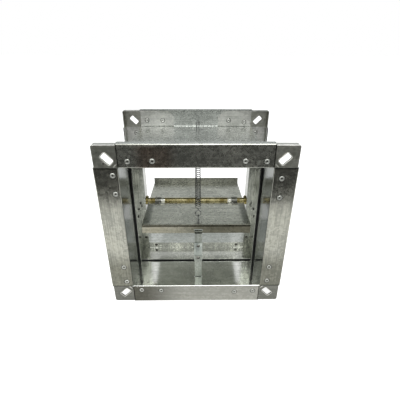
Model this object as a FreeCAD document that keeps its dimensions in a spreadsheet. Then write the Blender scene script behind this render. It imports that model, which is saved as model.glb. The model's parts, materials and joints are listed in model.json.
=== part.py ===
import FreeCAD, Part
import math
import os
import re
import Sketcher

# Rectangular duct fire damper. Millimetres, +Z up, the airway along Y, the blade's shaft along X.
# The origin is the centre of the casing, which is also the middle of the shaft.

DRIVING_DIMENSIONS = [
    ("opening", 198.0, "clear width and height of the airway"),
    ("depth", 200.0, "length of the casing along the airway"),
    ("sheet_gauge", 1.2, "thickness of the galvanised sheet"),
    ("bend_inside", 0.5, "inside radius of the folds"),
    ("flange_width", 32.0, "width of the duct flange round the opening"),
    ("lip_depth", 10.0, "how far the flange's outer lip folds back"),
    ("corner_gauge", 1.5, "thickness of a flange corner piece"),
    ("corner_arm", 59.0, "length of a corner piece's arm past the corner of the opening"),
    ("corner_chamfer", 12.0, "chamfer at the outer corner of an arm's end"),
    ("corner_round", 3.0, "radius of the flange's outer corner"),
    ("corner_edge", 0.6, "rounding of a corner piece's front edges"),
    ("slot_width", 8.5, "width of the bolt slot in a corner piece"),
    ("slot_length", 15.0, "length of the bolt slot, end to end"),
    ("slot_round", 1.5, "corner radius of the slot"),
    ("slot_offset", 12.3, "slot centre, outwards of the opening's corner on both axes"),
    ("slot_rim", 1.0, "width of the raised rim round the slot"),
    ("slot_rim_height", 0.5, "height of that rim, whose top is level with the flange's face"),
    ("seat_gap", 0.3, "running and seating clearance between sheet parts"),
    ("seal_gauge", 2.5, "thickness of the seal strip between wall and stop angle"),
    ("seal_width", 6.0, "width of the seal strip along the airway"),
    ("seal_recess", 1.5, "seal strip behind the stop angle's front edge"),
    ("stop_leg", 10.0, "reach of the stop angle's leg in front of the bearing bracket"),
    ("stop_inset", 14.0, "reach of the stop angle's flange from the wall"),
    ("stop_plane", 0.5, "clearance between the shaft and the stop ring in front of it"),
    ("gusset_arm", 26.0, "arm of the plate that joins two stop angles"),
    ("shaft_radius", 4.0, "radius of the blade shaft"),
    ("shaft_clearance", 0.05, "radial clearance of the shaft in its bushes and seats"),
    ("shaft_end", 0.5, "shaft's end short of the wall"),
    ("bush_radius", 6.0, "outside radius of a bush"),
    ("collar_radius", 7.5, "radius of the collar at each end of the blade"),
    ("collar_play", 0.9, "sideways play of the blade between its collars"),
    ("bracket_gauge", 1.8, "thickness of a bearing bracket"),
    ("bracket_reach", 28.0, "length of a bearing bracket in front of the shaft"),
    ("bracket_drop", 23.0, "how far the bracket's foot reaches below the shaft"),
    ("bracket_half", 8.5, "half width of the bracket's rounded end"),
    ("blade_play", 5.0, "gap from the blade's edge to the inner edge of the stop ring"),
    ("blade_gauge", 1.2, "thickness of the blade's sheet"),
    ("blade_drop", 1.6, "top of the blade below the shaft's axis"),
    ("blade_tilt", 2.2, "slope of the open blade in degrees, front edge up"),
    ("front_lip", 14.0, "height of the blade's front lip, turned down"),
    ("rear_lip", 11.0, "height of the blade's rear lip, turned up"),
    ("saddle_width", 16.0, "width of a shaft saddle along the shaft"),
    ("saddle_centre", 61.0, "middle of a saddle from the middle of the shaft"),
    ("saddle_foot", 14.0, "reach of the saddle's feet from the shaft's axis"),
    ("rivet_radius", 2.6, "radius of a rivet head"),
    ("rivet_height", 1.2, "height of a rivet head"),
    ("rivet_tip", 1.6, "radius of the flat on a rivet head"),
    ("rivet_edge", 1.2, "metal left between a rivet head and the edge"),
    ("lip_bar", 3.1, "bar left below the slot in the blade's front lip"),
    ("lip_slot_height", 3.2, "height of that slot"),
    ("strap_width", 11.0, "width of the straps on the fusible link"),
    ("strap_gauge", 1.0, "thickness of those straps"),
    ("strap_eye", 2.0, "inside radius of the eye rolled on the upper strap"),
    ("strap_tail", 3.9, "end of a strap past its rivet"),
    ("link_width", 12.5, "width of the fusible link"),
    ("link_gauge", 1.0, "thickness of each link plate"),
    ("link_top", 32.0, "top of the link below the shaft"),
    ("link_length", 35.0, "length of the fusible link"),
    ("link_lap", 13.0, "soldered lap of the two link plates"),
    ("link_rivet_inset", 6.0, "rivet from the end of the link"),
    ("floor_slot_width", 3.0, "slot in the floor that holds the lower strap"),
    ("strap_foot", 6.0, "foot bent on the lower strap under the floor"),
    ("wire_radius", 0.6, "radius of the spring's wire"),
    ("coil_radius", 4.1, "radius of the coil to the middle of the wire"),
    ("coil_turns", 38.0, "number of turns in the coil"),
    ("line_side", 2.9, "spring and fusible link right of the damper's middle"),
    ("ring_radius", 7.5, "radius of the ring through the blade, to the middle of its wire"),
    ("ring_setback", 10.0, "ring's centre behind the blade's front edge"),
    ("ring_rise", 4.3, "ring's centre above the middle of the blade's sheet"),
    ("hook_radius", 4.2, "radius of the spring's lower loop"),
    ("hook_stem", 19.0, "spring's lower end, from the ring's centre to the coil"),
    ("wire_bend", 0.75, "radius of the wire's sharp bends, to the middle of the wire"),
    ("anchor_place", 75.0, "spring's anchor hole behind the shaft"),
    ("anchor_stem", 12.0, "spring's upper end, from the coil to the anchor"),
    ("anchor_rise", 14.0, "height of the anchor loop above the casing"),
    ("anchor_bow", 2.2, "radius of the anchor loop's bow"),
    ("anchor_drop", 2.4, "where the spring meets its anchor, below the top wall"),
    ("anchor_foot", 6.6, "length of the wire's end on top of the casing"),
]

DERIVED_DIMENSIONS = [
    ("blade_size", "=opening - 2 * (stop_inset + blade_play)", "width and length of the blade"),
]

doc = FreeCAD.newDocument("FireDamper")
sheet = doc.addObject("Spreadsheet::Sheet", "Sizes")
for row, (alias, content, meaning) in enumerate(DRIVING_DIMENSIONS + DERIVED_DIMENSIONS, start=1):
    sheet.set(f"A{row}", meaning)
    sheet.set(f"B{row}", str(content))
    sheet.setAlias(f"B{row}", alias)
doc.recompute()
ALIASES = {alias for alias, content, meaning in DRIVING_DIMENSIONS + DERIVED_DIMENSIONS}
PIECES = {}
Vector = FreeCAD.Vector
ALONG_X, ALONG_Y, ALONG_Z = Vector(1, 0, 0), Vector(0, 1, 0), Vector(0, 0, 1)
TOUCH = 1e-4


def tie(formula):
    """The formula with each size's name pointed at its cell in the sheet."""
    return re.sub(r"[a-z_]+", lambda word: "Sizes." + word[0] if word[0] in ALIASES else word[0], formula)


def size(alias):
    return float(sheet.get(alias))


def keep(node, made):
    """Name the object as a finished piece of the damper."""
    made.Label = node
    PIECES[node] = made
    return made


# Places that several pieces share, as formulas on the sheet
HALF = "(opening / 2)"
FACE = "(depth / 2)"
WALL_OUT = "(opening / 2 + sheet_gauge)"
FLANGE_OUT = "(opening / 2 + flange_width)"
LEG_OUT = "(opening / 2 - seal_gauge)"
LEG_IN = "(opening / 2 - seal_gauge - sheet_gauge)"
STOP_EDGE = "(opening / 2 - stop_inset)"
STOP_BACK = "(-shaft_radius - stop_plane)"
STOP_FRONT = "(-shaft_radius - stop_plane - sheet_gauge)"
LEG_START = "(-bracket_reach - stop_leg)"
SEAT_RADIUS = "(shaft_radius + shaft_clearance)"


def block(name, across, along, up):
    """A box from its low and high formulas on each axis."""
    made = doc.addObject("Part::Box", name)
    for prop, spot, (low, high) in (("Length", "x", across), ("Width", "y", along), ("Height", "z", up)):
        made.setExpression(prop, tie(f"({high}) - ({low})"))
        made.setExpression("Placement.Base." + spot, tie(low))
    return made


def rod(name, radius, length, axis, start, kind="Part::Cylinder", tip=None):
    """A cylinder, or a cone with a tip radius, from its start point along an axis."""
    made = doc.addObject(kind, name)
    made.Placement.Rotation = FreeCAD.Rotation(ALONG_Z, axis)
    made.setExpression("Radius" if tip is None else "Radius1", tie(radius))
    if tip is not None:
        made.setExpression("Radius2", tie(tip))
    made.setExpression("Height", tie(length))
    for spot, formula in zip("xyz", start):
        made.setExpression("Placement.Base." + spot, tie(formula))
    return made


def rivet_head(name, axis, start):
    return rod(name, "rivet_radius", "rivet_height", axis, start, "Part::Cone", "rivet_tip")


def fuse(name, shapes):
    made = doc.addObject("Part::MultiFuse", name)
    made.Shapes = shapes
    made.Refine = True
    return made


def cut(name, base, tool):
    made = doc.addObject("Part::Cut", name)
    made.Base, made.Tool = base, tool
    made.Refine = True
    return made


def group(name, shapes):
    made = doc.addObject("Part::Compound", name)
    made.Links = shapes
    return made


def mirrored(name, source, normal):
    made = doc.addObject("Part::Mirroring", name)
    made.Source = source
    made.Normal = normal
    return made


def outline(body, name, plane, corners):
    """A closed sketch; both coordinates of each corner are tied to the sheet."""
    sketch = body.newObject("Sketcher::SketchObject", name)
    base = next(feature for feature in body.Origin.OriginFeatures if feature.Role == plane)
    sketch.AttachmentSupport = (base, [""])
    sketch.MapMode = "FlatFace"
    count = len(corners)
    turn = 2 * math.pi / count
    reach = Vector(size("opening") / 4, 0, 0)
    start = [FreeCAD.Rotation(ALONG_Z, math.degrees(turn * place)).multVec(reach) for place in range(count)]
    sketch.addGeometry([Part.LineSegment(here, after) for here, after in zip(start, start[1:] + start[:1])])
    for place in range(count):
        sketch.addConstraint(Sketcher.Constraint("Coincident", place, 2, (place + 1) % count, 1))
    for place, ((across, up), first) in enumerate(zip(corners, start)):
        for kind, formula, value in (("DistanceX", across, first.x), ("DistanceY", up, first.y)):
            index = sketch.addConstraint(Sketcher.Constraint(kind, -1, 1, place, 1, value))
            sketch.setExpression(f"Constraints[{index}]", tie(formula))
    return sketch


def pad(body, sketch, length, both_ways=True):
    made = body.newObject("PartDesign::Pad", sketch.Name + "Pad")
    made.Profile = sketch
    made.SideType = "Symmetric" if both_ways else "One side"
    made.setExpression("Length", tie(length))
    body.Tip = made
    doc.recompute()
    return made


def fold(body, sketch, last, corners, radius):
    """Round the pad's edges that start at these corners of the sketch."""
    spots = [sketch.Placement.multVec(sketch.getPoint(corner, 1)) for corner in corners]
    normal = sketch.Placement.Rotation.multVec(ALONG_Z)
    names = []
    for index, edge in enumerate(last.Shape.Edges, start=1):
        ends = [vertex.Point for vertex in edge.Vertexes]
        over = [spot for spot in spots if all((end - spot).cross(normal).Length < TOUCH for end in ends)]
        if len(ends) == 2 and over:
            names.append(f"Edge{index}")
    made = body.newObject("PartDesign::Fillet", f"{sketch.Name}Fold{corners[0]}")
    made.Base = (last, names)
    made.setExpression("Radius", tie(radius))
    body.Tip = made
    doc.recompute()
    return made


def folded(name, plane, corners, length, outside, inside):
    """A length of folded sheet from its section."""
    body = doc.addObject("PartDesign::Body", name)
    sketch = outline(body, name + "Section", plane, corners)
    last = pad(body, sketch, length)
    last = fold(body, sketch, last, outside, "bend_inside + sheet_gauge")
    fold(body, sketch, last, inside, "bend_inside")
    return body


# Casing: four walls, each with its flange strips folded out and their lips folded back
def channel_section(swap):
    """Section of a wall along the airway; swapped for a sketch that has the airway upwards."""
    lip_end, lip_in = f"{FACE} - lip_depth", f"{FLANGE_OUT} - sheet_gauge"
    corners = [
        (f"-{FACE} + lip_depth", FLANGE_OUT), (f"-{FACE}", FLANGE_OUT), (f"-{FACE}", HALF), (FACE, HALF),
        (FACE, FLANGE_OUT), (lip_end, FLANGE_OUT), (lip_end, lip_in), (f"{FACE} - sheet_gauge", lip_in),
        (f"{FACE} - sheet_gauge", WALL_OUT), (f"-{FACE} + sheet_gauge", WALL_OUT),
        (f"-{FACE} + sheet_gauge", lip_in), (f"-{FACE} + lip_depth", lip_in)]
    return [(up, along) for along, up in corners] if swap else corners


top_strip = folded("TopWall", "YZ_Plane", channel_section(False), "opening", [1, 2, 3, 4], [7, 8, 9, 10])
side_strip = folded("SideWall", "XY_Plane", channel_section(True), "opening", [1, 2, 3, 4], [7, 8, 9, 10])
SEAM_END = f"({FACE} - slot_rim_height - corner_gauge - seat_gap)"
seam = block("TopSeam", (f"-{WALL_OUT}", WALL_OUT), (f"-{SEAM_END}", SEAM_END), (HALF, WALL_OUT))
top_wall = fuse("TopPlain", [top_strip, seam])
bottom_wall = mirrored("BottomPlain", top_wall, ALONG_Z)
anchor_hole = rod("AnchorHole", "wire_radius + seat_gap", "3 * sheet_gauge", ALONG_Z,
                  ("line_side - anchor_bow", "anchor_place", f"{HALF} - sheet_gauge"))
keep("casing_top", cut("CasingTop", top_wall, anchor_hole))
keep("casing_right", side_strip)
keep("casing_left", mirrored("LeftPlain", side_strip, ALONG_X))


# Flange corner piece: a square plate that fills the flange's corner, set back to two arms behind the strips,
# with lips and a rimmed bolt slot
ARM_OUT = f"({FLANGE_OUT} - sheet_gauge - seat_gap)"
ARM_IN = f"({WALL_OUT} + bend_inside + seat_gap)"
ARM_END = f"({HALF} - corner_arm)"
SQUARE_IN = f"({HALF} + seat_gap)"
ARM_STEP = f"({HALF} + seat_gap + corner_gauge)"
SQUARE_FRONT = f"(-{FACE} + slot_rim_height)"
SQUARE_BACK = f"(-{FACE} + slot_rim_height + corner_gauge)"
PLATE_FRONT = f"(-{FACE} + sheet_gauge)"
PLATE_BACK = f"(-{FACE} + sheet_gauge + corner_gauge)"
LIP_BACK = f"(-{FACE} + lip_depth)"
SLOT_CENTRE = f"({HALF} + slot_offset)"


def edge_round(name, base, radius, chosen):
    """Round each chosen edge."""
    doc.recompute()
    made = doc.addObject("Part::Fillet", name)
    made.Base = base
    edges = enumerate(base.Shape.Edges, start=1)
    made.Edges = [(index, radius, radius) for index, edge in edges if chosen(edge)]
    return made


def slot_tool(name, wider, front, back):
    """A bar with rounded corners on the corner's diagonal, from front to back along the airway."""
    half_long, half_wide = f"(slot_length / 2 + {wider})", f"(slot_width / 2 + {wider})"
    along = ("0", f"({back}) - ({front})")
    bar = block(name + "Bar", (f"-{half_long}", half_long), along, (f"-{half_wide}", half_wide))
    made = edge_round(name, bar, size("slot_round"), lambda edge: (
        abs(edge.tangentAt(edge.FirstParameter).dot(ALONG_Y)) > 1 - TOUCH))
    made.Placement.Rotation = FreeCAD.Rotation(ALONG_Y, -45)
    made.setExpression("Placement.Base.x", tie(SLOT_CENTRE))
    made.setExpression("Placement.Base.y", tie(front))
    made.setExpression("Placement.Base.z", tie(SLOT_CENTRE))
    return made


def corner_arm_piece(name, swap):
    """One arm behind a strip, its end chamfered, with its lip; swapped for the side arm."""
    body = doc.addObject("PartDesign::Body", name)
    near, far = f"({ARM_END} + corner_chamfer)", f"({ARM_OUT} - corner_chamfer)"
    corners = [(ARM_STEP, ARM_OUT), (near, ARM_OUT), (ARM_END, far), (ARM_END, ARM_IN), (ARM_STEP, ARM_IN)]
    corners = [corner[::-1] for corner in corners] if swap else corners
    sketch = outline(body, name + "Outline", "XZ_Plane", corners)
    sketch.setExpression("AttachmentOffset.Base.z", tie(f"-{PLATE_BACK}"))
    pad(body, sketch, "corner_gauge", both_ways=False)
    across, up = (near, ARM_STEP), (f"{ARM_OUT} - corner_gauge", ARM_OUT)
    lip = block(name + "Lip", up if swap else across, (PLATE_FRONT, LIP_BACK), across if swap else up)
    return [body, lip]


def corner_piece():
    """The whole corner piece of the front flange's top right."""
    to_out, lip_in, plate = (SQUARE_IN, ARM_OUT), f"{ARM_OUT} - corner_gauge", (SQUARE_FRONT, SQUARE_BACK)
    square = [block("SquarePlate", to_out, plate, to_out),
              block("SquareLipTop", to_out, (SQUARE_FRONT, LIP_BACK), (lip_in, ARM_OUT)),
              block("SquareLipSide", (lip_in, ARM_OUT), (SQUARE_FRONT, LIP_BACK), to_out)]
    arms = corner_arm_piece("TopArm", False) + corner_arm_piece("SideArm", True)
    whole = fuse("CornerSquare", square + arms)
    out = size("opening") / 2 + size("flange_width") - size("sheet_gauge") - size("seat_gap")
    front = -size("depth") / 2 + size("slot_rim_height")

    def outer_upright(edge):
        return all(abs(end.X - out) < TOUCH and abs(end.Z - out) < TOUCH for end in edge.Vertexes)

    def front_edge(edge):
        return all(abs(end.Y - front) < TOUCH for end in edge.Vertexes) and all(
            abs(end.X - out) < TOUCH or abs(end.Z - out) < TOUCH for end in edge.Vertexes)

    rounded = edge_round("CornerUpright", whole, size("corner_round"), outer_upright)
    rounded = edge_round("CornerRounded", rounded, size("corner_edge"), front_edge)
    rim = slot_tool("SlotRim", "slot_rim", f"-{FACE}", SQUARE_BACK)
    hole = slot_tool("SlotHole", "0", f"-{FACE} - slot_rim_height", f"{SQUARE_BACK} + slot_rim_height")
    return cut("CornerMaster", fuse("CornerRimmed", [rounded, rim]), hole)


front_top_right = corner_piece()
front_bottom_right = mirrored("CornerFrontBottomRight", front_top_right, ALONG_Z)
right_corners = {"front_top": front_top_right, "front_bottom": front_bottom_right}
for level in ("top", "bottom"):
    front = right_corners["front_" + level]
    right_corners["rear_" + level] = mirrored("CornerRear" + level.title(), front, ALONG_Y)
for place, piece in right_corners.items():
    keep(f"corner_{place}_right", piece)
    keep(f"corner_{place}_left", mirrored("Left_" + place, piece, ALONG_X))


# Stop ring: four angles round the airway, stood off the walls on a black seal strip
def angle_section(swap):
    corners = [(LEG_START, LEG_OUT), (STOP_BACK, LEG_OUT), (STOP_BACK, STOP_EDGE),
               (STOP_FRONT, STOP_EDGE), (STOP_FRONT, LEG_IN), (LEG_START, LEG_IN)]
    return [(up, along) for along, up in corners] if swap else corners


side_angle = folded("SideAngle", "XY_Plane", angle_section(True), "opening - 2 * seat_gap", [1], [4])
keep("stop_angle_right", side_angle)
keep("stop_angle_left", mirrored("StopLeft", side_angle, ALONG_X))
top_angle = folded("TopAngle", "YZ_Plane", angle_section(False), f"2 * ({LEG_IN} - seat_gap)", [1], [4])
notch_depth, notch_height = (f"{STOP_FRONT} - seat_gap", "0"), (f"{STOP_EDGE} - sheet_gauge", HALF)
notch_limits = {"Left": (f"-{HALF}", f"-{STOP_EDGE} + seat_gap"), "Right": (f"{STOP_EDGE} - seat_gap", HALF)}
notches = [block("AngleNotch" + side, limits, notch_depth, notch_height)
           for side, limits in notch_limits.items()]
keep("stop_angle_top", cut("StopTop", top_angle, fuse("AngleNotches", notches)))
keep("stop_angle_bottom", mirrored("StopBottom", PIECES["stop_angle_top"], ALONG_Z))

SEAL_FRONT = f"({LEG_START} + seal_recess)"
SEAL_BACK = f"({LEG_START} + seal_recess + seal_width)"
keep("seal_strip_right", block("SealRight", (LEG_OUT, HALF), (SEAL_FRONT, SEAL_BACK), (f"-{HALF}", HALF)))
keep("seal_strip_left", mirrored("SealLeft", PIECES["seal_strip_right"], ALONG_X))
keep("seal_strip_top", block("SealTop", (f"-{LEG_IN}", LEG_IN), (SEAL_FRONT, SEAL_BACK), (LEG_OUT, HALF)))
keep("seal_strip_bottom", mirrored("SealBottom", PIECES["seal_strip_top"], ALONG_Z))

# Corner gussets sit on the back of the stop ring's flanges
GUSSET_OUT = f"({LEG_OUT} - bend_inside - sheet_gauge)"
GUSSET_IN = f"({STOP_EDGE} + seat_gap)"
GUSSET_END = f"({GUSSET_OUT} - gusset_arm)"


def gusset():
    body = doc.addObject("PartDesign::Body", "GussetPlate")
    sketch = outline(body, "GussetOutline", "XZ_Plane", [
        (GUSSET_OUT, GUSSET_OUT), (GUSSET_END, GUSSET_OUT), (GUSSET_END, GUSSET_IN),
        (GUSSET_IN, GUSSET_IN), (GUSSET_IN, GUSSET_END), (GUSSET_OUT, GUSSET_END)])
    sketch.setExpression("AttachmentOffset.Base.z", tie(f"-({STOP_BACK} + sheet_gauge)"))
    pad(body, sketch, "sheet_gauge", both_ways=False)
    return body


top_right_gusset = keep("stop_gusset_top_right", gusset())
keep("stop_gusset_top_left", mirrored("GussetTopLeft", top_right_gusset, ALONG_X))
keep("stop_gusset_bottom_right", mirrored("GussetBottomRight", top_right_gusset, ALONG_Z))
keep("stop_gusset_bottom_left", mirrored("GussetBottomLeft", PIECES["stop_gusset_top_left"], ALONG_Z))


# Bearings: a bracket between wall and stop angle at each end, with a bush, and a collar beside the blade
BRACKET_FRONT = "(-bracket_reach)"
BRACKET_OUT = f"({LEG_OUT} + bracket_gauge)"
bracket_foot = block("BracketFoot", (LEG_OUT, BRACKET_OUT), (BRACKET_FRONT, f"{STOP_BACK} - bend_inside"),
                     ("-bracket_drop", "bracket_half"))
bracket_neck = block("BracketNeck", (LEG_OUT, BRACKET_OUT), (BRACKET_FRONT, "0"),
                     ("-bracket_half", "bracket_half"))
bracket_round = rod("BracketRound", "bracket_half", "bracket_gauge", ALONG_X, (LEG_OUT, "0", "0"))
bracket_hole = rod("BracketHole", "bush_radius", "3 * bracket_gauge", ALONG_X,
                   (f"{LEG_OUT} - bracket_gauge", "0", "0"))
keep("bearing_bracket_right",
     cut("BracketRight", fuse("BracketWhole", [bracket_foot, bracket_neck, bracket_round]), bracket_hole))
keep("bearing_bracket_left", mirrored("BracketLeft", PIECES["bearing_bracket_right"], ALONG_X))


def ring_on_shaft(name, radius, inner, outer):
    """A round piece with the shaft's bore, from its inner to its outer end."""
    body = rod(name + "Body", radius, f"{outer} - {inner}", ALONG_X, (inner, "0", "0"))
    bore = rod(name + "Bore", SEAT_RADIUS, f"{outer} - {inner} + 2 * sheet_gauge", ALONG_X,
               (f"{inner} - sheet_gauge", "0", "0"))
    return cut(name, body, bore)


keep("bush_right", ring_on_shaft("Bush", "bush_radius", LEG_OUT, BRACKET_OUT))
keep("bush_left", mirrored("BushLeft", PIECES["bush_right"], ALONG_X))
keep("shaft_collar_right", ring_on_shaft(
    "Collar", "collar_radius", "(blade_size / 2 + collar_play)", f"({STOP_EDGE} - seat_gap)"))
keep("shaft_collar_left", mirrored("CollarLeft", PIECES["shaft_collar_right"], ALONG_X))


def both_sides(name, made):
    """The rivets on the right and their mirror image on the left, as separate solids."""
    left = [mirrored(f"{name}Left{place}", one, ALONG_X) for place, one in enumerate(made)]
    return group(name, made + left)


INWARD, FORWARD = Vector(-1, 0, 0), Vector(0, -1, 0)
RIVET_INSET = "(rivet_radius + rivet_edge)"
bracket_spots = ((f"-{RIVET_INSET} - bracket_half - shaft_radius", "-bracket_half"),
                 (f"-bracket_reach + {RIVET_INSET}", f"-bracket_drop + {RIVET_INSET} + rivet_edge"))
keep("bracket_rivets", both_sides("BracketRivets", [
    rivet_head(f"BracketRivet{place}", INWARD, (LEG_IN, *spot)) for place, spot in enumerate(bracket_spots)]))
FAR_RIVET, NEAR_RIVET = f"({GUSSET_END} + {RIVET_INSET})", f"({GUSSET_IN} + {RIVET_INSET})"
gusset_spots = ((FAR_RIVET, NEAR_RIVET), (NEAR_RIVET, FAR_RIVET))
ring_rivets = [rivet_head(f"GussetRivet{sign}{place}", FORWARD, (across, STOP_FRONT, sign + up))
               for sign in ("-", "") for place, (across, up) in enumerate(gusset_spots)]
keep("gusset_rivets", both_sides("GussetRivets", ring_rivets))


# Blade: one folded sheet with a pressed trough for the shaft, front lip down and rear lip up
BLADE_HALF = "(blade_size / 2)"
TOP_SKIN = "(-blade_drop)"
LOW_SKIN = "(-blade_drop - blade_gauge)"
LIP_FOOT = "(-blade_drop - front_lip)"
SLOT_LOW = f"({LIP_FOOT} + lip_bar)"


def tilted(made):
    """Lean a blade piece about the shaft to the slope it has when open."""
    made.Placement.Rotation = FreeCAD.Rotation(Vector(-1, 0, 0), 1)
    made.setExpression("Placement.Rotation.Angle", tie("blade_tilt"))
    return made


blade_sheet = folded("BladeSheet", "YZ_Plane", [
    (f"-{BLADE_HALF}", LIP_FOOT), (f"-{BLADE_HALF}", TOP_SKIN), (f"{BLADE_HALF} - blade_gauge", TOP_SKIN),
    (f"{BLADE_HALF} - blade_gauge", f"{LOW_SKIN} + rear_lip"), (BLADE_HALF, f"{LOW_SKIN} + rear_lip"),
    (BLADE_HALF, LOW_SKIN), (f"-{BLADE_HALF} + blade_gauge", LOW_SKIN),
    (f"-{BLADE_HALF} + blade_gauge", LIP_FOOT)],
    "blade_size", [1, 5], [2, 6])
trough_round = rod("TroughRound", f"{SEAT_RADIUS} + blade_gauge", "blade_size", ALONG_X,
                   (f"-{BLADE_HALF}", "0", "0"))
trough_trim = block("TroughTrim", (f"-{BLADE_HALF}", BLADE_HALF), ("-2 * shaft_radius", "2 * shaft_radius"),
                    (TOP_SKIN, "2 * shaft_radius"))
trough = cut("Trough", trough_round, trough_trim)
seat_bore = rod("SeatBore", SEAT_RADIUS, "blade_size", ALONG_X, (f"-{BLADE_HALF}", "0", "0"))
lip_slot = block("LipSlot", ("line_side - link_width / 2", "line_side + link_width / 2"),
                 (f"-{BLADE_HALF} - blade_gauge", f"-{BLADE_HALF} + 2 * blade_gauge"),
                 (SLOT_LOW, f"{SLOT_LOW} + lip_slot_height"))
RING_MIDDLE = f"(-{BLADE_HALF} + ring_setback)"
RING_REACH = "sqrt(ring_radius ^ 2 - ring_rise ^ 2)"
ring_holes = [rod(f"RingHole{side}", "2 * wire_radius + seat_gap", "3 * blade_gauge", ALONG_Z,
                  ("line_side", f"{RING_MIDDLE} {sign} {RING_REACH}", f"{LOW_SKIN} - blade_gauge"))
              for side, sign in enumerate("-+")]
blade_tools = fuse("BladeTools", [seat_bore, lip_slot] + ring_holes)
keep("blade", tilted(cut("Blade", fuse("BladeTroughed", [blade_sheet, trough]), blade_tools)))
keep("shaft", rod("Shaft", "shaft_radius", f"2 * ({HALF} - shaft_end)", ALONG_X,
                  (f"-{HALF} + shaft_end", "0", "0")))

SADDLE = ("saddle_centre - saddle_width / 2", "saddle_centre + saddle_width / 2")
saddle_feet = block("SaddleFeet", SADDLE, ("-saddle_foot", "saddle_foot"),
                    (TOP_SKIN, f"{TOP_SKIN} + blade_gauge"))
saddle_round = rod("SaddleRound", f"{SEAT_RADIUS} + blade_gauge", "saddle_width", ALONG_X,
                   (SADDLE[0], "0", "0"))
saddle_trim = block("SaddleTrim", SADDLE, ("-saddle_foot", "saddle_foot"), ("-2 * saddle_foot", TOP_SKIN))
saddle_bore = rod("SaddleBore", SEAT_RADIUS, "saddle_width", ALONG_X, (SADDLE[0], "0", "0"))
saddle_tools = fuse("SaddleTools", [saddle_trim, saddle_bore])
saddle_arch = cut("SaddleArch", fuse("SaddleWhole", [saddle_feet, saddle_round]), saddle_tools)
keep("shaft_saddle_right", tilted(saddle_arch))
keep("shaft_saddle_left", mirrored("SaddleLeft", saddle_arch, ALONG_X))
saddle_rivets = [rivet_head(f"SaddleRivet{place}", ALONG_Z, (
    "saddle_centre", f"{sign}(saddle_foot - {RIVET_INSET})", f"{TOP_SKIN} + blade_gauge"))
    for place, sign in enumerate(("-", ""))]
keep("saddle_rivets", tilted(both_sides("SaddleRivets", saddle_rivets)))


# Wire and strap pieces follow paths that lean with the blade, so their shapes are set from the sheet here
TILT = FreeCAD.Rotation(Vector(-1, 0, 0), size("blade_tilt"))
WIRE = size("wire_radius")


def leaned(along, up):
    """A point of the level blade on the spring's line, moved to where the open blade's slope puts it."""
    return TILT.multVec(Vector(size("line_side"), along, up))


def set_piece(node, shape, placement=None):
    made = doc.addObject("Part::Feature", node)
    made.Shape = shape
    if placement is not None:
        made.Placement = placement
    return keep(node, made)


def wire_rod(points, radius, bends):
    """A round wire along straight runs joined by arcs."""
    edges, last = [], points[0]
    for before, corner, after, bend in zip(points, points[1:], points[2:], bends):
        arrive, leave = (corner - before).normalize(), (after - corner).normalize()
        half_turn = arrive.getAngle(leave) / 2
        run = bend * math.tan(half_turn)
        start, end = corner - arrive * run, corner + leave * run
        middle = corner + (leave - arrive).normalize() * (bend / math.cos(half_turn) - bend)
        edges += [Part.LineSegment(last, start).toShape(), Part.Arc(start, middle, end).toShape()]
        last = end
    edges.append(Part.LineSegment(last, points[-1]).toShape())
    path = Part.Wire(edges)
    ring = Part.Wire([Part.makeCircle(radius, points[0], points[1] - points[0])])
    return path.makePipeShell([ring], True, False)


ring_centre = leaned(-size("blade_size") / 2 + size("ring_setback"),
                     -size("blade_drop") - size("blade_gauge") / 2 + size("ring_rise"))
anchor_point = Vector(size("line_side"), size("anchor_place"), size("opening") / 2 - size("anchor_drop"))
spring_line = anchor_point - ring_centre
pull = Vector(spring_line).normalize()
spring_place = FreeCAD.Placement(ring_centre, FreeCAD.Rotation(ALONG_Z, pull))
set_piece("spring_ring", Part.makeTorus(size("ring_radius"), WIRE, ring_centre, ALONG_X))

loop_middle = size("ring_radius") - 2 * WIRE - size("seat_gap") / 3 + size("hook_radius")
coil_start, coil_end = size("hook_stem"), spring_line.Length - size("anchor_stem")
coil_length = coil_end - coil_start
hook_loop = Part.makeTorus(size("hook_radius"), WIRE, Vector(0, 0, loop_middle), ALONG_Y)
hook_stem = wire_rod([Vector(0, 0, loop_middle + size("hook_radius")), Vector(0, 0, coil_start - 2 * WIRE),
                      Vector(size("coil_radius"), 0, coil_start - WIRE / 2)], WIRE, [size("wire_bend")])
set_piece("spring_lower_hook", hook_loop.fuse(hook_stem).removeSplitter(), spring_place)

helix = Part.makeHelix(coil_length / size("coil_turns"), coil_length, size("coil_radius"))
WIRE_FACETS = 6
facet = 2 * math.pi / WIRE_FACETS
coil_side = Vector(size("coil_radius"), 0, 0)
section_points = [coil_side + Vector(math.cos(facet * side), 0, math.sin(facet * side)) * WIRE
                  for side in range(WIRE_FACETS + 1)]
coil = Part.Wire(helix.Edges).makePipeShell([Part.makePolygon(section_points)], True, True)
coil_place = spring_place.multiply(FreeCAD.Placement(Vector(0, 0, coil_start + WIRE), FreeCAD.Rotation()))
set_piece("spring_coil", coil, coil_place)

above = size("opening") / 2 + size("sheet_gauge")
bow = size("anchor_bow")
hole_side = Vector(size("line_side") - bow, size("anchor_place"), 0)
coil_exit = spring_place.multVec(Vector(size("coil_radius"), 0, coil_end + 2 * WIRE))
rise_top = above + size("anchor_rise")
anchor_route = [coil_exit, spring_place.multVec(Vector(0, 0, coil_end + size("anchor_stem") / 3)),
                hole_side + Vector(0, 0, anchor_point.z), hole_side + Vector(0, 0, rise_top),
                hole_side + Vector(2 * bow, 0, rise_top), hole_side + Vector(2 * bow, 0, above + 2 * WIRE),
                hole_side + Vector(2 * bow + size("anchor_foot"), 0, above + WIRE)]
bend, bow_bend = size("wire_bend"), bow - WIRE / 4
anchor_bends = [bend, 2 * bend, bow_bend, bow_bend, bend]
set_piece("spring_anchor_hook", wire_rod(anchor_route, WIRE, anchor_bends))


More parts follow.
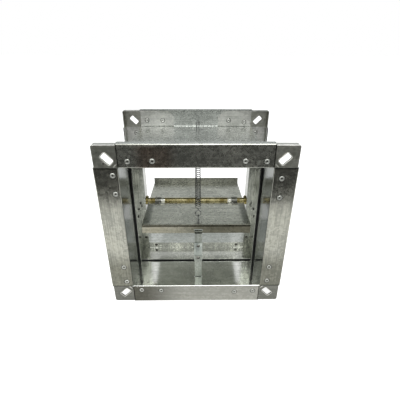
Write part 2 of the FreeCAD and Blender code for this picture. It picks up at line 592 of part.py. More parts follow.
# Fusible link: two soldered plates between a strap hooked on the blade's lip and one hooked in the floor
pivot = leaned(-size("blade_size") / 2 + size("blade_gauge") / 2,
               -size("blade_drop") - size("front_lip") + size("lip_bar") / 2)
eye_in, gauge = size("strap_eye"), size("strap_gauge")
eye_out = eye_in + gauge
strap_back = pivot.y + eye_out
strap_front = pivot.y + eye_in
link_top, link_foot = -size("link_top"), -size("link_top") - size("link_length")
rivet_high, rivet_low = link_top - size("link_rivet_inset"), link_foot + size("link_rivet_inset")
strap_tail = size("strap_tail")


def plate(width, front, back, low, high):
    """A flat piece across the link's middle."""
    return Part.makeBox(width, back - front, high - low, Vector(size("line_side") - width / 2, front, low))


def upper_strap():
    """A flat strap whose top is rolled into an eye round the bar of the lip."""
    width = size("strap_width")
    start = pivot - ALONG_X * (width / 2)
    outer, inner = [Part.makeCylinder(radius, width, start, ALONG_X) for radius in (eye_out, eye_in)]
    mouth = plate(width + 2 * gauge, pivot.y - eye_in, pivot.y + gauge,
                  pivot.z - eye_out - gauge, pivot.z - gauge / 2)
    eye = outer.cut(inner).cut(mouth)
    stem = plate(width, strap_front, strap_back, rivet_high - strap_tail, pivot.z)
    return eye.fuse(stem).removeSplitter()


set_piece("link_upper_strap", upper_strap())
plate_back = strap_front
plate_front = plate_back - size("link_gauge")
lap_middle = (link_top + link_foot) / 2
lap_half = size("link_lap") / 2
set_piece("link_upper_plate", plate(size("link_width"), plate_front, plate_back,
                                    lap_middle - lap_half, link_top))
lower_front = plate_back + size("seat_gap")
lower_back = lower_front + size("link_gauge")
set_piece("link_lower_plate", plate(size("link_width"), lower_front, lower_back,
                                    link_foot, lap_middle + lap_half))


def lower_strap():
    """A flat strap that passes through the floor and turns back under it."""
    width = size("strap_width")
    floor = -size("opening") / 2 - size("sheet_gauge")
    under = floor - gauge - size("seat_gap")
    stem = plate(width, lower_front - gauge, lower_front, under, rivet_low + strap_tail)
    foot = plate(width, lower_front - gauge, lower_front + size("strap_foot"),
                 under, floor - size("seat_gap"))
    return stem.fuse(foot).removeSplitter()


set_piece("link_lower_strap", lower_strap())


def link_rivet(front, back, up):
    """A rivet head in front of the joint and one behind it."""
    head = size("rivet_radius"), size("rivet_tip"), size("rivet_height")
    return Part.makeCompound([Part.makeCone(*head, Vector(size("line_side"), front, up), FORWARD),
                              Part.makeCone(*head, Vector(size("line_side"), back, up), ALONG_Y)])


set_piece("link_upper_rivet", link_rivet(plate_front, strap_back, rivet_high))
set_piece("link_lower_rivet", link_rivet(lower_front - gauge, lower_back, rivet_low))

slot_middle = lower_front - gauge / 2
floor_slot = doc.addObject("Part::Feature", "FloorSlot")
slot_half, floor_top = size("floor_slot_width") / 2, -size("opening") / 2
floor_slot.Shape = plate(size("strap_width") + 4 * size("seat_gap"), slot_middle - slot_half,
                         slot_middle + slot_half, floor_top - 3 * size("sheet_gauge"),
                         floor_top + size("sheet_gauge"))
keep("casing_bottom", cut("CasingBottom", bottom_wall, floor_slot))

doc.recompute()
for made in doc.Objects:
    if "Invalid" in made.State or "Error" in made.State:
        raise RuntimeError(f"{made.Label} did not compute: {made.State}")
for node, made in PIECES.items():
    shape = made.Shape
    if shape.isNull() or not shape.isValid() or not shape.Solids or shape.Volume <= 0:
        raise RuntimeError(f"{node} has no sound solid: {shape.isValid()} {len(shape.Solids)} {shape.Volume}")

os.makedirs("parts", exist_ok=True)
for node, made in sorted(PIECES.items()):
    made.Shape.exportStep(f"parts/{node}.step")
    print(node, len(made.Shape.Solids), round(made.Shape.Volume, 1))
print("pieces", len(PIECES), "pivot", pivot, "ring", ring_centre, "pull", pull)
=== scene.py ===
# %% [markdown]
# A fire damper sits in an air duct. Its casing is folded from galvanised sheet, its blade is held open by a
# fusible link, and a spring pulls the blade shut when the link melts. The CAD model already holds every
# rigid piece at its real size, so this lesson dresses those pieces, and only models what is too fine for
# CAD: the turns of the spring, the clinches that join the flange strips and the beads pressed into the
# corner pieces.

# %% Load the frame
import json
import math

import bmesh
import bpy
from mathutils import Matrix, Vector


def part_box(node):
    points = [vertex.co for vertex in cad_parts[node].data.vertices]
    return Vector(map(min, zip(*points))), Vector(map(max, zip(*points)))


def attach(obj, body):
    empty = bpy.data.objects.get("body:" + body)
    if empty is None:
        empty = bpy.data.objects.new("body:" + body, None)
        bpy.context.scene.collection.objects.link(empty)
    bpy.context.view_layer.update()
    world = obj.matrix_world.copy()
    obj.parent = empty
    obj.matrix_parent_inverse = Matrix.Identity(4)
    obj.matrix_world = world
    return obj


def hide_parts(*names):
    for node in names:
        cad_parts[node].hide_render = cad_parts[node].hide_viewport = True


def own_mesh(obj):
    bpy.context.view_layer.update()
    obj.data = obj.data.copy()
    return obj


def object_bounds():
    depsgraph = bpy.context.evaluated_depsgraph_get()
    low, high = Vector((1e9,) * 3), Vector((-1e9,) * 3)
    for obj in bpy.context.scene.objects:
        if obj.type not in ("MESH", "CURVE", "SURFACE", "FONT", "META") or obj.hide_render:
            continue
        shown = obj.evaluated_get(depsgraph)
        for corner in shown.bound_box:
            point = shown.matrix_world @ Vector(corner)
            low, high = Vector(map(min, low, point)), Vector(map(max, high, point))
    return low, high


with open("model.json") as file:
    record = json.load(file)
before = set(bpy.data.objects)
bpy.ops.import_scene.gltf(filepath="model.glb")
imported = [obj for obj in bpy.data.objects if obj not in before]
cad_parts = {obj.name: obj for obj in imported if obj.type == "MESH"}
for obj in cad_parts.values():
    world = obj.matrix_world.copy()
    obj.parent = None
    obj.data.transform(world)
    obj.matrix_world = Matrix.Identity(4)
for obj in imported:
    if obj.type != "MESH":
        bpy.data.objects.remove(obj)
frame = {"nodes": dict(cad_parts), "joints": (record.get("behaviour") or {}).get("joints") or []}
cad_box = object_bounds()
MM = 0.001

# %% [markdown]
# The camera comes first, because every later choice is judged through it. It could be placed by eye, but
# here its place and tilt were worked out from the straight edges of the flange, so that the casing's lines
# meet the picture's. A focal length of about 28 mm on a 36 mm sensor is a phone's normal lens.

# %% Camera
CAMERA_PLACE = Vector((-0.58, -462.5, 248.8)) * MM
PITCH_DOWN, YAW_RIGHT, ROLL = math.radians(28.29), math.radians(0.87), math.radians(0.26)
FOCAL_MM, SENSOR_MM, NEAREST = 27.81, 36.0, 10 * MM

forward = Vector((math.sin(YAW_RIGHT) * math.cos(PITCH_DOWN), math.cos(YAW_RIGHT) * math.cos(PITCH_DOWN),
                  -math.sin(PITCH_DOWN)))
level_right = Vector((math.cos(YAW_RIGHT), -math.sin(YAW_RIGHT), 0.0))
level_up = level_right.cross(forward)
right = math.cos(ROLL) * level_right + math.sin(ROLL) * level_up
up = -math.sin(ROLL) * level_right + math.cos(ROLL) * level_up
camera_data = bpy.data.cameras.new("camera")
camera_data.lens, camera_data.sensor_width, camera_data.clip_start = FOCAL_MM, SENSOR_MM, NEAREST
camera = bpy.data.objects.new("camera", camera_data)
camera.matrix_world = Matrix.Translation(CAMERA_PLACE) @ Matrix((right, up, -forward)).transposed().to_4x4()
bpy.context.scene.collection.objects.link(camera)
bpy.context.scene.camera = camera
bpy.context.scene.view_settings.view_transform = "Standard"
print("camera", round(CAMERA_PLACE.length / MM), "mm from the damper's middle")

# %% [markdown]
# Colours are written as the sRGB hex values that a paint shop would quote. Blender's shaders want linear
# light, so one function turns them. Nodes could be wired by hand in the shader editor, but in a script they
# are quicker to repeat and to compare. One function gives a node its values and links, and one adds a node
# with its settings, which keeps each material short enough to read as a recipe.

# %% Colours


def linear(hex_colour):
    """Linear RGBA from an sRGB hex colour, by the standard's own curve."""
    parts = [int(hex_colour[place:place + 2], 16) / 255 for place in (1, 3, 5)]
    return tuple(part / 12.92 if part <= 0.04045 else ((part + 0.055) / 1.055) ** 2.4
                 for part in parts) + (1.0,)


print("half grey is", round(linear("#808080")[0], 3), "in linear light")

# %% Nodes


def feed(node, **inputs):
    """Give inputs their values or links; _0 or _1 counts the inputs, because some nodes repeat a name."""
    for name, value in inputs.items():
        socket = node.inputs[int(name[1:])] if name[0] == "_" else node.inputs[name.replace("_", " ")]
        if isinstance(value, bpy.types.NodeSocket):
            node.id_data.links.new(value, socket)
        else:
            socket.default_value = value
    return node


def add(owner, kind, settings=None, **inputs):
    """A new node in a material or the world. A colour ramp's stops are (position, hex colour) pairs."""
    node = owner.node_tree.nodes.new("ShaderNode" + kind)
    for name, value in (settings or {}).items():
        if name != "stops":
            setattr(node, name, value)
            continue
        elements = node.color_ramp.elements
        while len(elements) < len(value):
            elements.new(0.5)
        for element, (position, colour) in zip(elements, value):
            element.position, element.color = position, linear(colour)
    return feed(node, **inputs)


def new_material(name):
    """An empty node material and its Principled shader, already joined to the output."""
    material = bpy.data.materials.new(name)
    material.use_nodes = True
    return material, material.node_tree.nodes["Principled BSDF"]


print("materials in the frame", len(bpy.data.materials))

# %% [markdown]
# Sheet that has been stored and handled isn't even. It carries thin films of oxide and grease, most where
# hands and weather reach it. The same films also paint shade and dark reflections, in seams and folds, on
# faces turned from the light and where the metal would mirror something dark. Films could be painted on an
# image, but then each piece has to be unfolded first. Here a film has limits in millimetres that fade at
# their edges, and one colour that multiplies the sheet's own, which darkens and tints it as a real film does.

# %% Limits of a film


def within(material, place, limits):
    """1 inside the limits, 0 outside. An axis in a capital letter counts both ways from the middle."""
    axes = add(material, "SeparateXYZ", _0=place).outputs
    inside = 1.0
    for axis, (low, high, fade) in limits.items():
        value, half = axes[axis.upper()], (high - low) / 2 * MM
        if axis.isupper():
            value = add(material, "Math", {"operation": "ABSOLUTE"}, _0=value).outputs[0]
        off = add(material, "Math", {"operation": "SUBTRACT"}, _0=value, _1=(low + high) / 2 * MM).outputs[0]
        off = add(material, "Math", {"operation": "ABSOLUTE"}, _0=off).outputs[0]
        here = add(material, "MapRange", {"interpolation_type": "SMOOTHSTEP"}, _0=off, _1=half,
                   _2=half - fade * MM).outputs[0]
        inside = add(material, "Math", {"operation": "MULTIPLY"}, _0=here, _1=inside).outputs[0]
    return inside


print("limits are in millimetres, and 1 mm is", MM, "m")

# %% Films of oxide and handling, and painted shade


def worn_and_shaded(material, place, smears, colour, films):
    """The colour seen through its films and painted shade, which the smears make patchy."""
    for limits, film_colour, thinnest in films:
        patches = add(material, "MapRange", _0=smears, _3=thinnest, _4=1.0).outputs[0]
        cover = add(material, "Math", {"operation": "MULTIPLY"}, _0=within(material, place, limits),
                    _1=patches)
        colour = add(material, "Mix", {"data_type": "RGBA", "blend_type": "MULTIPLY"}, _0=cover.outputs[0],
                     _6=colour, _7=linear(film_colour)).outputs[2]
    return colour


def film(colour, thinnest, **limits):
    """A film, which may also be painted shade: its colour, its cover where thinnest, and (low, high, fade) in
    millimetres along each axis.
    """
    return limits, colour, thinnest


print("a film is", film("#d2cfc6", 0.5, y=(-102.0, -99.2, 0.3)))

# %% [markdown]
# The casing's films follow its folds. All front faces have a warm grey film, with a brown tinge left of the
# middle on the top strip. The bottom strip and the lower ends of the side strips face away from the light and
# carry painted shade, and the bottom strip is darker towards its left end. Each strip ends in a seam of
# painted shade where it meets a corner piece. Inside, the side walls carry painted shade from the inlet to
# the stop ring, and the floor is a little darker along its middle, between the bright bands at its sides. The
# corner pieces' squares are a little darker at the top and much darker at the bottom.

# %% Films and painted shade on the casing and its corner pieces
FRONT_FACE, STRIP_END, INLET = (-102.0, -99.2, 0.3), (97.4, 101.0, 0.6), (-99.2, -38.5, 0.3)
FACE_FILM = film("#d2cfc6", 0.5, y=FRONT_FACE)
TOP_BROWN_TINGE = film("#b08c7c", 0.2, x=(-84.0, -20.0, 18.0), y=FRONT_FACE, Z=(96.0, 131.0, 6.0))
# Painted shade in the seams at the strips' ends.
STRIP_END_SHADE = film("#62625e", 0.9, X=STRIP_END, y=FRONT_FACE)
SIDE_END_SHADE = film("#62625e", 0.9, y=FRONT_FACE, Z=STRIP_END)
# Painted shade on the lower side strips and on the bottom strip, which face away from the light.
SIDE_LOW_SHADE = film("#bfbfba", 0.9, y=FRONT_FACE, z=(-160.0, -25.0, 40.0))
FLOOR_FACE_SHADE = film("#9a9790", 0.6, y=FRONT_FACE)
# The bottom strip is darker towards its left end, and the floor darker along its middle.
FLOOR_LEFT_DARKENING = film("#94938d", 0.9, x=(-220.0, -10.0, 80.0), y=FRONT_FACE)
FLOOR_MIDDLE_DARKENING = film("#d6d8d6", 0.7, x=(-72.0, 72.0, 14.0), y=(-99.2, 99.2, 0.3))
# Painted shade on the side walls from the inlet to the stop ring.
INLET_SHADE = film("#9a9e9f", 0.5, y=INLET)
# The corner pieces' squares are a little darker at the top and much darker at the bottom.
UPPER_SQUARE_TONE = film("#c6c6bf", 0.8, X=(99.2, 128.9, 0.2), z=(99.2, 128.9, 0.2))
LOWER_SQUARE_TONE = film("#7e7e79", 0.8, X=(99.2, 132.0, 0.2), z=(-132.0, -99.2, 0.2))
print("the inlet's film is", INLET[1] - INLET[0], "mm deep")

# %% [markdown]
# The blade's front lip has a brownish tint and painted shade, and it is greyer towards the right. Its front
# fold carries a thin dark line of painted shade, the upper part of its rear lip a painted dark reflection,
# and its sides a painted dark reflection of the walls they pass. The stop ring's side angles and the middles
# of the saddles are darker, and the eye of the link's strap carries painted shade.

# %% Films and painted shade on the blade, the stop ring and the small pieces
FRONT_LIP = (-82.0, -79.4, 0.3)
# The front lip's brownish tint with painted shade, greyer towards the right.
LIP_TINT_AND_SHADE = film("#b0a690", 0.3, y=FRONT_LIP)
LIP_RIGHT_GREYING = film("#85857e", 0.7, x=(-50.0, 160.0, 75.0), y=FRONT_LIP)
# Painted shade along the front fold, and a painted dark reflection on the rear lip's upper part.
FRONT_FOLD_SHADE = film("#57564f", 0.8, y=(-82.0, -78.9, 0.2), Z=(-2.0, 2.0, 0.5))
REAR_LIP_REFLECTION = film("#62635e", 0.8, y=(79.0, 82.0, 0.1), Z=(2.2, 7.0, 0.6))
# A painted dark reflection of the walls on the blade's sides.
BLADE_SIDE_REFLECTION = film("#a9acab", 0.8, X=(67.0, 83.0, 6.0), y=(-79.0, -10.0, 6.0))
# The stop ring's side angles are darker.
STOP_SIDE_DARKENING = film("#d4d5d2", 0.8, X=(84.0, 99.0, 1.0))
# Painted shade over the eye of the strap, which dims its lamp highlight.
STRAP_EYE_SHADE = film("#6f6f69", 0.9, z=(-14.0, 2.0, 1.0))
# The saddles are darker across their middles.
SADDLE_MIDDLE_DARKENING = film("#6f706a", 0.6, X=(58.0, 72.0, 2.0))
print("the front lip's film starts", -FRONT_LIP[0], "mm in front of the shaft")

# %% [markdown]
# Hot-dip galvanised sheet freezes into spangles, flat crystals a few millimetres across that each catch the
# light a little differently. Over them lie the fine lines of the rolling mill, smears from handling, and a
# slow cloudiness. A photograph of sheet would repeat itself and show seams at the folds, so the patterns
# are cells and noise that fill space: the cells differ in grey and in gloss, and the lines and smears
# change the tone. Metal has no diffuse colour of its own, so roughness does most of the work, and a faint
# bump breaks up the reflections. Real mill lines are hundredths of a millimetre wide. They are drawn 1.7 mm
# wide, as finer ones wouldn't show.

# %% Patterns of galvanised sheet
SPANGLE_MM, SMEAR_MM, MILL_LINE_MM, MILL_LINE_LENGTH_MM = 3.2, 45.0, 1.7, 76.5
CRYSTAL_TONE, SMEAR_TONE, CRYSTAL_GLOSS = 0.42, 0.9, 0.45
LINE_TONE_RANGE, GRAIN_TONE_RANGE, SMEAR_GLOSS_RANGE = (-0.5, 0.8), (-0.4, 0.25), (-0.1, 0.6)
DARK_AT, MID_AT, LIGHT_AT = 0.15, 0.42, 0.72
MILL_LINE_DEPTH = 0.15 * MM


def drawn_noise(material, place, across_mm, along_mm, direction, **inputs):
    """Noise this many millimetres wide and long, with its length along one axis."""
    scale = [1 / ((along_mm if axis == direction else across_mm) * MM) for axis in "xyz"]
    stretched = add(material, "Mapping", Vector=place, Scale=scale).outputs[0]
    return add(material, "TexNoise", Vector=stretched, Scale=1.0, **inputs).outputs["Fac"]


def spread(low_high):
    """Two inputs of Map Range, which spread a number from 0 to 1 between these two."""
    return {"_3": low_high[0], "_4": low_high[1]}


def sheet_tone(material, crystals, lines, smears):
    """How light the sheet is at each point, from its crystals, mill lines and smears."""
    lines = add(material, "MapRange", _0=lines, **spread(LINE_TONE_RANGE)).outputs[0]
    grain = add(material, "Math", {"operation": "MULTIPLY_ADD"}, _0=crystals, _1=CRYSTAL_TONE, _2=lines)
    grain = add(material, "MapRange", _0=grain.outputs[0], **spread(GRAIN_TONE_RANGE)).outputs[0]
    return add(material, "Math", {"operation": "MULTIPLY_ADD"}, _0=smears, _1=SMEAR_TONE, _2=grain).outputs[0]


print("mill lines", MILL_LINE_MM, "by", MILL_LINE_LENGTH_MM, "mm")

# %% [markdown]
# One recipe makes every kind of sheet. It takes three greys, from the dullest crystals to the brightest,
# the range of roughness between the glossiest and the most matt of them, the way the sheet was rolled, and
# films.

# %% Galvanised sheet


def galvanised(name, dark, mid, light, roughness, rolled_along="x", bump=0.012, spangle=SPANGLE_MM, films=()):
    """Zinc coated sheet steel with its spangle, mill lines, smears and films."""
    material, shader = new_material(name)
    place = add(material, "TexCoord").outputs["Object"]
    cells = add(material, "TexVoronoi", Vector=place, Scale=1 / (spangle * MM))
    crystals = add(material, "SeparateColor", _0=cells.outputs["Color"]).outputs[0]
    lines = drawn_noise(material, place, MILL_LINE_MM, MILL_LINE_LENGTH_MM, rolled_along, Detail=2.0)
    smears = drawn_noise(material, place, SMEAR_MM, SMEAR_MM, rolled_along, Detail=5.0, Roughness=0.62)
    colour = add(material, "ValToRGB", {"stops": [(DARK_AT, dark), (MID_AT, mid), (LIGHT_AT, light)]},
                 _0=sheet_tone(material, crystals, lines, smears)).outputs["Color"]
    patches = add(material, "MapRange", _0=smears, **spread(SMEAR_GLOSS_RANGE)).outputs[0]
    matt = add(material, "Math", {"operation": "MULTIPLY_ADD"}, _0=crystals, _1=CRYSTAL_GLOSS, _2=patches)
    rough = add(material, "MapRange", _0=matt.outputs[0], **spread(roughness)).outputs[0]
    height = add(material, "Bump", Strength=bump, Distance=MILL_LINE_DEPTH, Height=lines).outputs[0]
    feed(shader, Base_Color=worn_and_shaded(material, place, smears, colour, films), Roughness=rough, Normal=height,
         Metallic=1.0)
    return material


print("spangles", SPANGLE_MM, "mm, smears", SMEAR_MM, "mm")

# %% Finishes of the casing, the stop ring and the blade
# The top wall is satin: its spangle shows, and the lamps are soft patches on it. Its strip ends carry painted
# shade.
casing_sheet = galvanised("galvanised_casing_sheet", "#aaada9", "#c6c9c5", "#dee1dc", (0.2, 0.34),
                          films=[FACE_FILM, TOP_BROWN_TINGE, STRIP_END_SHADE])
# The floor is the brightest and glossiest, and mirrors the room behind the duct in long bands at its sides.
# Its front strip carries painted shade, and it is darker to the left and along its middle.
floor_sheet = galvanised("galvanised_floor_sheet", "#cfd1cc", "#e6e8e4", "#f6f7f2", (0.08, 0.18),
                         films=[FLOOR_FACE_SHADE, FLOOR_LEFT_DARKENING, FLOOR_MIDDLE_DARKENING, STRIP_END_SHADE])
# The side walls are glossy too, with their mill lines upright, and carry painted shade at the inlet and low
# on their strips.
side_sheet = galvanised("galvanised_side_sheet", "#a8aaa5", "#c8cac4", "#e0e2db", (0.12, 0.24),
                        rolled_along="z", films=[FACE_FILM, INLET_SHADE, SIDE_END_SHADE, SIDE_LOW_SHADE])
# The stop angles and the bearing brackets are offcuts of the same sheet, lighter and as glossy.
stop_sheet = galvanised("galvanised_stop_angle", "#b0b2ac", "#d2d4cc", "#eeefe6", (0.12, 0.24),
                        rolled_along="z", films=[STOP_SIDE_DARKENING])
# The blade is satin with a stronger bump, which breaks the coil's reflection on it.
# Its folds and sides carry painted shade and painted reflections.
blade_sheet = galvanised("galvanised_blade_sheet", "#a8aaa1", "#cacbc1", "#e6e7dc", (0.22, 0.38), bump=0.03,
                         films=[LIP_TINT_AND_SHADE, LIP_RIGHT_GREYING, FRONT_FOLD_SHADE, REAR_LIP_REFLECTION, BLADE_SIDE_REFLECTION])
print("sheets:", [material.name for material in bpy.data.materials if material.name.startswith("galvanised")])

# %% [markdown]
# The small sheet pieces have a finer spangle, because thin sheet cools faster. The link's plates are tinned
# with solder, which freezes in broad crystals. The same recipe serves, with other sizes and greys.

# %% Small pieces of sheet
FINE_SPANGLE_MM, THIN_SPANGLE_MM, SOLDER_CRYSTAL_MM = 2.2, 2.0, 6.0
# The corner pieces are pressed and more matt than the strips, so their squares stand apart.
corner_sheet = galvanised("galvanised_pressed_corner", "#bcbeb8", "#d4d4d0", "#e8e9e2", (0.24, 0.42),
                          spangle=FINE_SPANGLE_MM, films=[UPPER_SQUARE_TONE, LOWER_SQUARE_TONE])
# The clinches are a shade darker than the strips that they are pressed from.
clinch_sheet = galvanised("galvanised_clinch", "#9c9e98", "#b6b8b2", "#cccdc6", (0.24, 0.38),
                          spangle=FINE_SPANGLE_MM)
# The beads' crests are rubbed dull, a light line round each slot.
worn_edge = galvanised("worn_pressed_edge", "#bcbcb6", "#d4d4ce", "#e4e4dd", (0.4, 0.55),
                       spangle=FINE_SPANGLE_MM)
# The link's plates are greenish grey and satin.
tinned_link = galvanised("tinned_link_plate", "#7f8581", "#a4aaa4", "#c2c7c0", (0.22, 0.36), rolled_along="z",
                         spangle=SOLDER_CRYSTAL_MM)
# The straps are thin, dark and nearly matt, with painted shade over the eye.
strap_metal = galvanised("thin_galvanised_strap", "#7d817b", "#9fa39b", "#bcbfb6", (0.3, 0.44),
                         rolled_along="z", spangle=THIN_SPANGLE_MM, films=[STRAP_EYE_SHADE])
print("materials so far", len(bpy.data.materials))

# %% [markdown]
# The shaft is plated in yellow zinc, a thin greenish gold film over turned steel, and its collars and
# bushes are brass, so both keep a metal's sharp reflection along the rod. The saddles are pressed steel in
# grey zinc, and the rivets and the spring's wire are dull and dark. Turning and drawing leave rings round
# the axis. They could be cut into the mesh at a great cost in faces, so a wave along X in the bump does it.
# Real rings are about a tenth of a millimetre apart. They are drawn 4 to 15 mm apart, where they still show
# as faint bands.

# %% Turned, drawn and plated metals
WAVE_LENGTH = math.pi / 10  # the length of one wave at a scale of 1
RING_MM, WIRE_RING_MM, SADDLE_BAND_MM, RING_DEPTH = 3.77, 9.42, 15.08, 0.05 * MM
CLOUD_MM, TARNISH_FROM, TARNISH_TO = 9.0, 0.35, 0.65
BRIGHT_SHARE, DULL_SHARE = 0.75, 1.35


def turned_metal(name, colour, tint, roughness, ring_mm=RING_MM, bump=0.05, films=()):
    """A machined or drawn metal: faint rings, and a colour that goes over to a tint with handling."""
    material, shader = new_material(name)
    place = add(material, "TexCoord").outputs["Object"]
    rings = add(material, "TexWave", {"bands_direction": "X"}, Vector=place,
                Scale=WAVE_LENGTH / (ring_mm * MM), Distortion=1.5, Detail=2.0)
    cloud = add(material, "TexNoise", Vector=place, Scale=1 / (CLOUD_MM * MM), Detail=4.0).outputs["Fac"]
    plating = add(material, "ValToRGB", {"stops": [(TARNISH_FROM, colour), (TARNISH_TO, tint)]}, _0=cloud)
    rough = add(material, "MapRange", _0=cloud, **spread((roughness * BRIGHT_SHARE, roughness * DULL_SHARE)))
    height = add(material, "Bump", Strength=bump, Distance=RING_DEPTH, Height=rings.outputs["Fac"])
    feed(shader, Base_Color=worn_and_shaded(material, place, cloud, plating.outputs["Color"], films),
         Roughness=rough.outputs[0], Normal=height.outputs[0], Metallic=1.0)
    return material


print("rings drawn every", RING_MM, "mm")

# %% Finishes of the shaft, the saddles, the rivets and the spring
# The shaft has one hard bright line along it, gold where the plating is thick.
yellow_zinc = turned_metal("yellow_zinc_shaft", "#786d44", "#b3aa83", 0.08)
# The collars and bushes are darker and browner than the shaft, so the blade's ends stand out.
brass = turned_metal("turned_brass_collar", "#6e6237", "#958a5a", 0.24)
# The saddles are the palest metal, in broad bands where they are pressed round the shaft.
grey_zinc = turned_metal("grey_zinc_saddle", "#c4c4bc", "#e8e8e0", 0.2, ring_mm=SADDLE_BAND_MM, bump=0.5,
                         films=[SADDLE_MIDDLE_DARKENING])
# The saddles' rivets are plated and satin, the others are dark dots on the bright sheet.
rivet_metal = turned_metal("plated_rivet", "#84847e", "#bcbcb4", 0.24)
dull_rivet = turned_metal("dull_rivet", "#3e3e3a", "#6c6c66", 0.3)
# Spring wire is drawn and oiled: dark grey with a glint on each turn.
spring_wire = turned_metal("drawn_spring_wire", "#484a4a", "#7c7d7c", 0.26, ring_mm=WIRE_RING_MM)
# The dark ring round each clinch and the dark dot in its middle are painted shade of its groove and its dish.
groove_shade = turned_metal("painted_groove_shade", "#3c3c39", "#555551", 0.5)
print("materials so far", len(bpy.data.materials))

# %% [markdown]
# The seal is intumescent strip, a black graphite rubber that swells in a fire. A plain black would look
# like a hole in the picture, so it is matt with a faint grain in colour and bump, as moulded rubber has.

# %% Black seal strip
GRAIN_MM, GRAIN_DEPTH = 0.8, 0.2 * MM
seal_rubber, seal_shader = new_material("black_intumescent_strip")
seal_place = add(seal_rubber, "TexCoord").outputs["Object"]
seal_noise = add(seal_rubber, "TexNoise", Vector=seal_place, Scale=1 / (GRAIN_MM * MM), Detail=3.0)
seal_grain = seal_noise.outputs["Fac"]
seal_black = add(seal_rubber, "ValToRGB", {"stops": [(0.3, "#050505"), (0.7, "#151515")]}, _0=seal_grain)
seal_bump = add(seal_rubber, "Bump", Strength=0.3, Distance=GRAIN_DEPTH, Height=seal_grain)
feed(seal_shader, Base_Color=seal_black.outputs["Color"], Normal=seal_bump.outputs[0], Roughness=0.85)
print("seal grain", GRAIN_MM, "mm")

# %% [markdown]
# The CAD pieces keep their shapes and only take their finish. Each could be dressed by hand, but a name's
# first words say which family it is in. The first start that fits is taken, so a special piece stands
# before its family.

# %% Dress the CAD pieces
FINISHES = [("casing_top", casing_sheet), ("casing_bottom", floor_sheet), ("casing_", side_sheet),
            ("corner_", corner_sheet), ("stop_", stop_sheet), ("seal_", seal_rubber),
            ("bearing_", stop_sheet), ("bush_", brass), ("shaft_saddle", grey_zinc), ("shaft_collar", brass),
            ("shaft", yellow_zinc), ("blade", blade_sheet), ("spring_", spring_wire),
            ("gusset_rivets", dull_rivet), ("bracket_rivets", dull_rivet), ("saddle_rivets", rivet_metal),
            ("link_upper_rivet", dull_rivet), ("link_lower_rivet", dull_rivet),
            ("link_upper_plate", tinned_link), ("link_lower_plate", tinned_link),
            ("link_upper_strap", strap_metal), ("link_lower_strap", strap_metal)]

for node, thing in frame["nodes"].items():
    finish = next(made for start, made in FINISHES if node.startswith(start))
    thing.data.materials.clear()
    thing.data.materials.append(finish)
print("dressed", len(frame["nodes"]), "pieces")

# %% [markdown]
# The spring is a close coil of round steel wire, stretched while the blade is held open. Its loop on the
# ring and its hook at the top are CAD pieces, so the coil fills the way between their stems. The ring's
# place comes from the joint that the loop swings on.

# %% Where the coil goes
HOOK_STEM, ANCHOR_STEM = 19.0 * MM, 12.0 * MM
ANCHOR_POINT = Vector((2.9, 75.0, 96.6)) * MM
joint_places = {joint["name"]: joint for joint in frame["joints"]}
ring_centre = Vector(joint_places["spring_hook_swing"]["pos_m"])
pull = (ANCHOR_POINT - ring_centre).normalized()
coil_length = (ANCHOR_POINT - ring_centre).length - HOOK_STEM - ANCHOR_STEM
print("coil", round(coil_length / MM, 1), "mm long with the blade open")

# %% [markdown]
# A curve with a round bevel could draw the coil, but its turns are regular, and bmesh's spin makes them in
# one call: it takes a small circle of wire round an axis and, with a step along that axis, winds it up.
# Every new piece then goes through one function, which makes its object and says what it belongs to.

# %% A finished piece


def piece_from(name, bm, material, body):
    """A finished piece from a bmesh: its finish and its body."""
    mesh = bpy.data.meshes.new(name)
    bm.to_mesh(mesh)
    bm.free()
    piece = bpy.data.objects.new(name, mesh)
    bpy.context.scene.collection.objects.link(piece)
    mesh.materials.append(material)
    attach(piece, body)
    print(name, len(mesh.polygons), "faces")
    return piece


# %% Wind the coil
WIRE_RADIUS, COIL_RADIUS, TURNS, STEPS_A_TURN, WIRE_SIDES = 0.6 * MM, 4.1 * MM, 38, 20, 8

coil = bmesh.new()
rim = bmesh.ops.create_circle(coil, cap_ends=False, segments=WIRE_SIDES, radius=WIRE_RADIUS)["verts"]
bmesh.ops.rotate(coil, verts=rim, cent=(0, 0, 0), matrix=Matrix.Rotation(math.pi / 2, 3, "X"))
bmesh.ops.translate(coil, verts=rim, vec=(COIL_RADIUS, 0, 0))
steps = TURNS * STEPS_A_TURN
bmesh.ops.spin(coil, geom=coil.edges[:] + coil.verts[:], cent=(0, 0, 0), axis=(0, 0, 1),
               dvec=(0, 0, coil_length / steps), angle=2 * math.pi * TURNS, steps=steps, use_merge=False)
bmesh.ops.holes_fill(coil, edges=[edge for edge in coil.edges if edge.is_boundary])
bmesh.ops.recalc_face_normals(coil, faces=coil.faces)
for face in coil.faces:
    face.smooth = True
coil_turn = Vector((0, 0, 1)).rotation_difference(pull).to_matrix()
bmesh.ops.rotate(coil, verts=coil.verts, cent=(0, 0, 0), matrix=coil_turn)
bmesh.ops.translate(coil, verts=coil.verts, vec=ring_centre + pull * (HOOK_STEM + WIRE_RADIUS))
spring_coil = piece_from("spring_coil_wire", coil, spring_wire, "casing")
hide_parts("spring_coil")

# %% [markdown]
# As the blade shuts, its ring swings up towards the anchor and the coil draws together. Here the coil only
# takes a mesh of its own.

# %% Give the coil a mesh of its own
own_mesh(spring_coil)

# %% [markdown]
# The flange strips are joined to the corner pieces by clinches: a punch presses both sheets together and
# leaves a round button with a raised ring, a dished middle and a groove round it. A bump would look flat
# from the side, so each is a short profile of radius and height, spun round its own axis, at under two
# hundred faces. The profiles close below the sheet's face. The groove's shade is painted as a thin dark ring,
# a hair above the sheet, because the CAD sheet stays uncut, and a dark dot paints the shade in the middle.

# %% Shape of a clinch
CLINCH_PROFILE = [(0.0, -0.15), (1.7, 0.0), (2.1, 0.6), (3.0, 0.65), (3.6, 0.0), (3.6, -0.3), (0.0, -0.3)]
